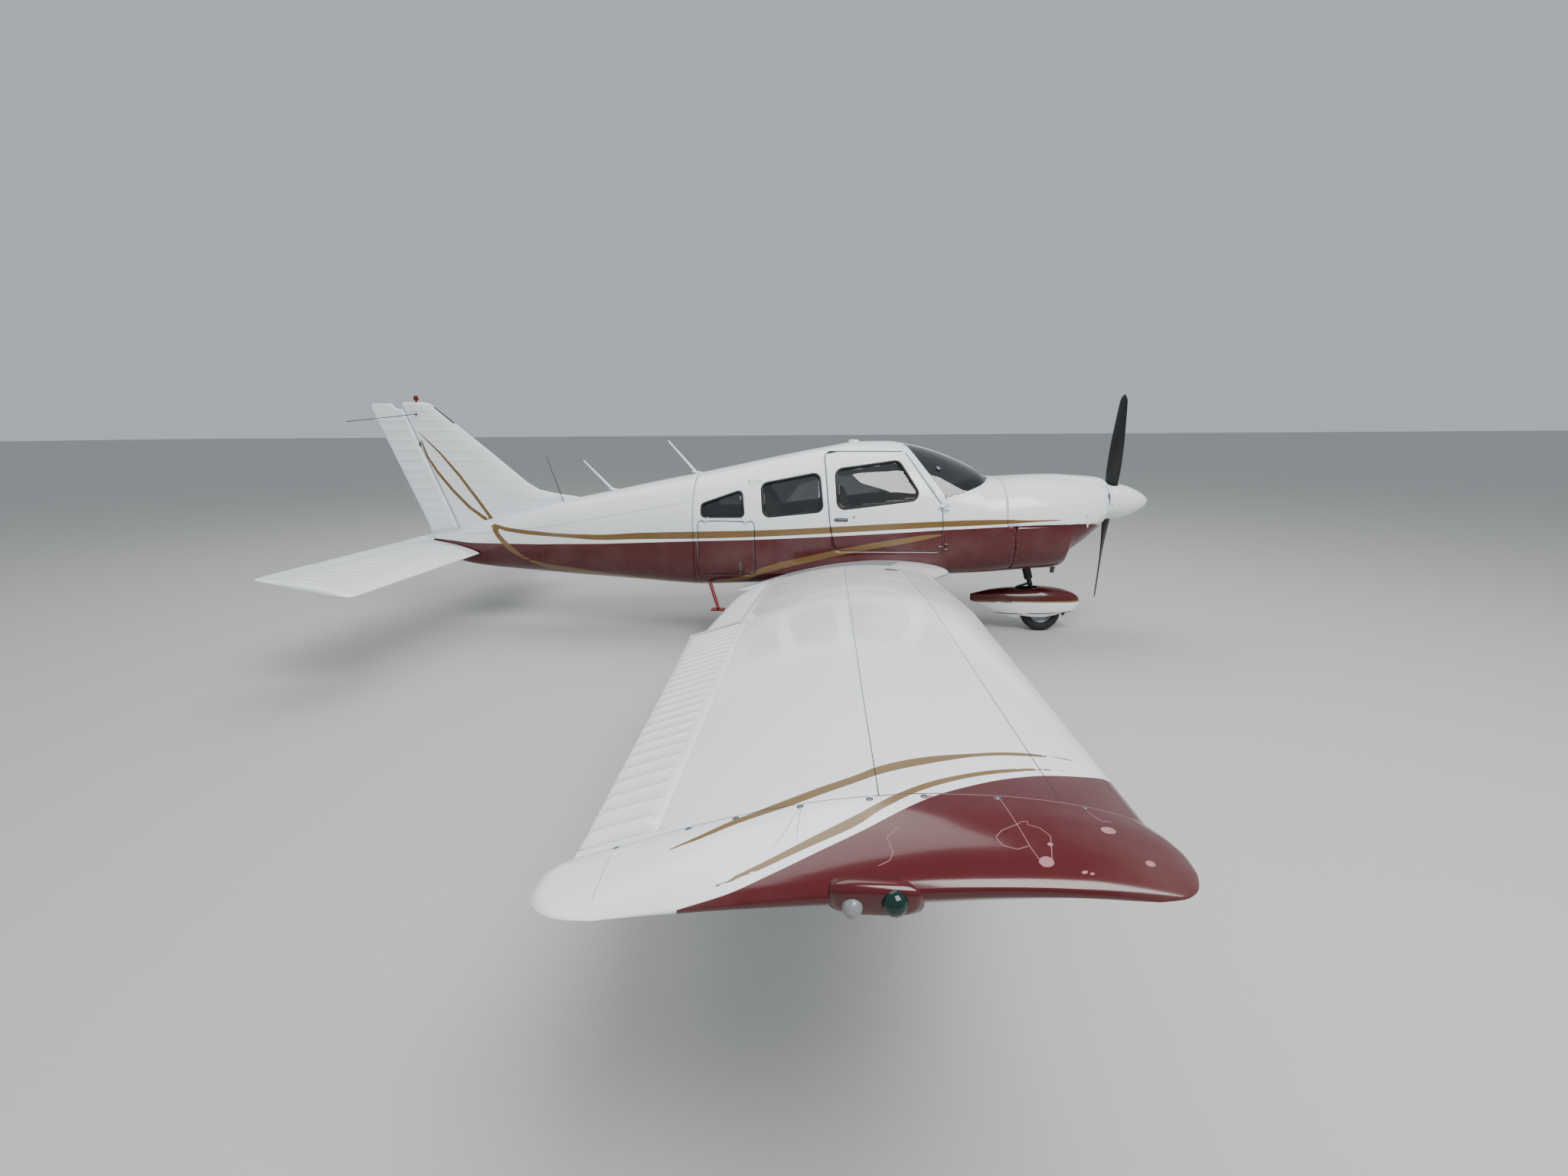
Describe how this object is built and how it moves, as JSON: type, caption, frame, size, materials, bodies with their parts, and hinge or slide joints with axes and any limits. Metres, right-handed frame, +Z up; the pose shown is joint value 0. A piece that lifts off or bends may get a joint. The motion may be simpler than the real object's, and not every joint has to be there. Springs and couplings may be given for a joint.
{
  "type": "light aircraft",
  "caption": "Low-wing four-seat light aircraft parked on faired tricycle gear, with a nose propeller, hinged doors, flaps, ailerons, rudder and all-moving tailplane.",
  "frame": {"origin": "on the ground under the middle of the aircraft's bounding box, wheels at z = 0", "axes": "+X to the nose, +Y to port, +Z up"},
  "size_m": [7.2426, 10.762, 2.217],
  "materials": {
    "white_paint": "gloss white paint on aluminium sheet",
    "maroon_paint": "gloss dark maroon paint on moulded glass fibre",
    "white_plastic": "gloss white paint on moulded shell",
    "tinted_acrylic": "tinted clear acrylic",
    "seat_fabric": "grey brown upholstery",
    "black_plastic": "matt black moulding",
    "floor_metal": "dark painted sheet",
    "engine_metal": "plain engine block at its real place and size",
    "gear_metal": "steel tube and forging, dark paint",
    "wheel_metal": "cast aluminium wheel",
    "tyre_rubber": "black rubber",
    "propeller_metal": "forged blade, matt black face",
    "red_lens": "red lens",
    "green_lens": "green lens"
  },
  "bodies": {
    "airframe": {"cowl_top": "white_paint", "cowl_lower": "maroon_paint", "engine_block": "engine_metal", "firewall": "floor_metal", "cabin_shell": "white_paint", "window_front_left": "tinted_acrylic", "window_rear_right": "tinted_acrylic", "window_aft_right": "tinted_acrylic", "window_rear_left": "tinted_acrylic", "window_aft_left": "tinted_acrylic", "windshield_right": "tinted_acrylic", "windshield_left": "tinted_acrylic", "windshield_post": "white_paint", "instrument_panel": "black_plastic", "yoke_left": "black_plastic", "yoke_right": "black_plastic", "front_seat_left": "seat_fabric", "front_seat_right": "seat_fabric", "rear_seat": "seat_fabric", "cabin_floor": "floor_metal", "tail_cone": "white_paint", "fin": "white_paint", "beacon": "red_lens", "nav_antenna_left": "gear_metal", "nav_antenna_right": "gear_metal", "wing_left": "white_paint", "wing_tip_left": "maroon_paint", "position_light_left": "red_lens", "wing_right": "white_paint", "wing_tip_right": "maroon_paint", "position_light_right": "green_lens", "nose_strut": "gear_metal", "main_leg_left": "gear_metal", "main_fairing_left": "maroon_paint", "main_leg_right": "gear_metal", "main_fairing_right": "maroon_paint", "com_antenna_front": "white_paint", "com_antenna_rear": "white_paint", "whip_antenna": "gear_metal", "step_strut": "maroon_paint"},
    "propeller_unit": {"propeller": "propeller_metal", "spinner": "white_plastic"},
    "nose_leg": {"nose_fork": "gear_metal", "nose_fairing": "maroon_paint"},
    "nose_wheel_unit": {"nose_wheel": "wheel_metal", "nose_tyre": "tyre_rubber"},
    "main_wheel_unit_left": {"main_wheel_left": "wheel_metal", "main_tyre_left": "tyre_rubber"},
    "main_wheel_unit_right": {"main_wheel_right": "wheel_metal", "main_tyre_right": "tyre_rubber"},
    "entry_door": {"cabin_door": "white_paint", "door_window": "tinted_acrylic"},
    "baggage_hatch": {"baggage_door": "white_paint"},
    "left_flap": {"flap_left": "white_paint"},
    "right_flap": {"flap_right": "white_paint"},
    "left_aileron": {"aileron_left": "white_paint"},
    "right_aileron": {"aileron_right": "white_paint"},
    "rudder_unit": {"rudder": "white_paint"},
    "stabilator_unit": {"stabilator": "white_paint"},
    "tab_unit": {"anti_servo_tab": "white_paint"}
  },
  "joints": [
    {"name": "propeller_spin", "type": "hinge", "parent": "airframe", "child": "propeller_unit", "pos_m": [3.28, 0, 1.225], "axis": [1, 0, 0], "continuous": true},
    {"name": "nose_steering", "type": "hinge", "parent": "airframe", "child": "nose_leg", "pos_m": [2.578, 0, 0.63], "axis": [-0.2924, 0, 0.9563], "range_deg": [-20, 20]},
    {"name": "nose_wheel_spin", "type": "hinge", "parent": "nose_leg", "child": "nose_wheel_unit", "pos_m": [2.744, 0, 0.18], "axis": [0, 1, 0], "continuous": true},
    {"name": "main_wheel_spin_left", "type": "hinge", "parent": "airframe", "child": "main_wheel_unit_left", "pos_m": [0.763, 1.525, 0.222], "axis": [0, 1, 0], "continuous": true},
    {"name": "main_wheel_spin_right", "type": "hinge", "parent": "airframe", "child": "main_wheel_unit_right", "pos_m": [0.763, -1.525, 0.222], "axis": [0, 1, 0], "continuous": true},
    {"name": "entry_door_hinge", "type": "hinge", "parent": "airframe", "child": "entry_door", "pos_m": [1.718, -0.577, 0.842], "axis": [0, 0, 1], "range_deg": [0, 75]},
    {"name": "baggage_hatch_hinge", "type": "hinge", "parent": "airframe", "child": "baggage_hatch", "pos_m": [0.092, -0.549, 1.103], "axis": [-0.9938, 0.1109, 0], "range_deg": [0, 85]},
    {"name": "flap_hinge_left", "type": "hinge", "parent": "airframe", "child": "left_flap", "pos_m": [0.268, 0.65, 0.56183], "axis": [0, 0.9951, 0.0984], "range_deg": [-30, 10]},
    {"name": "flap_hinge_right", "type": "hinge", "parent": "airframe", "child": "right_flap", "pos_m": [0.268, -0.65, 0.56183], "axis": [0, 0.9951, -0.0984], "range_deg": [-30, 10]},
    {"name": "aileron_hinge_left", "type": "hinge", "parent": "airframe", "child": "left_aileron", "pos_m": [0.273, 2.735, 0.76785], "axis": [0.0421, 0.9951, 0.0898], "range_deg": [-15, 30]},
    {"name": "aileron_hinge_right", "type": "hinge", "parent": "airframe", "child": "right_aileron", "pos_m": [0.273, -2.735, 0.76785], "axis": [-0.0421, 0.9951, -0.0898], "range_deg": [-15, 30]},
    {"name": "rudder_hinge", "type": "hinge", "parent": "airframe", "child": "rudder_unit", "pos_m": [-2.896, 0, 0.949], "axis": [-0.3507, 0, 0.9365], "range_deg": [-27, 27]},
    {"name": "stabilator_pivot", "type": "hinge", "parent": "airframe", "child": "stabilator_unit", "pos_m": [-2.822, 0, 0.765], "axis": [0, 1, 0], "range_deg": [-12, 4]},
    {"name": "tab_hinge", "type": "hinge", "parent": "stabilator_unit", "child": "tab_unit", "pos_m": [-3.246, 0, 0.8373], "axis": [0, 1, 0], "range_deg": [-12, 3]}
  ],
  "couplings": [
    {"joint": "flap_hinge_right", "follows": "flap_hinge_left", "ratio": 1},
    {"joint": "nose_steering", "follows": "rudder_hinge", "ratio": -0.7407},
    {"joint": "tab_hinge", "follows": "stabilator_pivot", "ratio": 0.75}
  ]
}
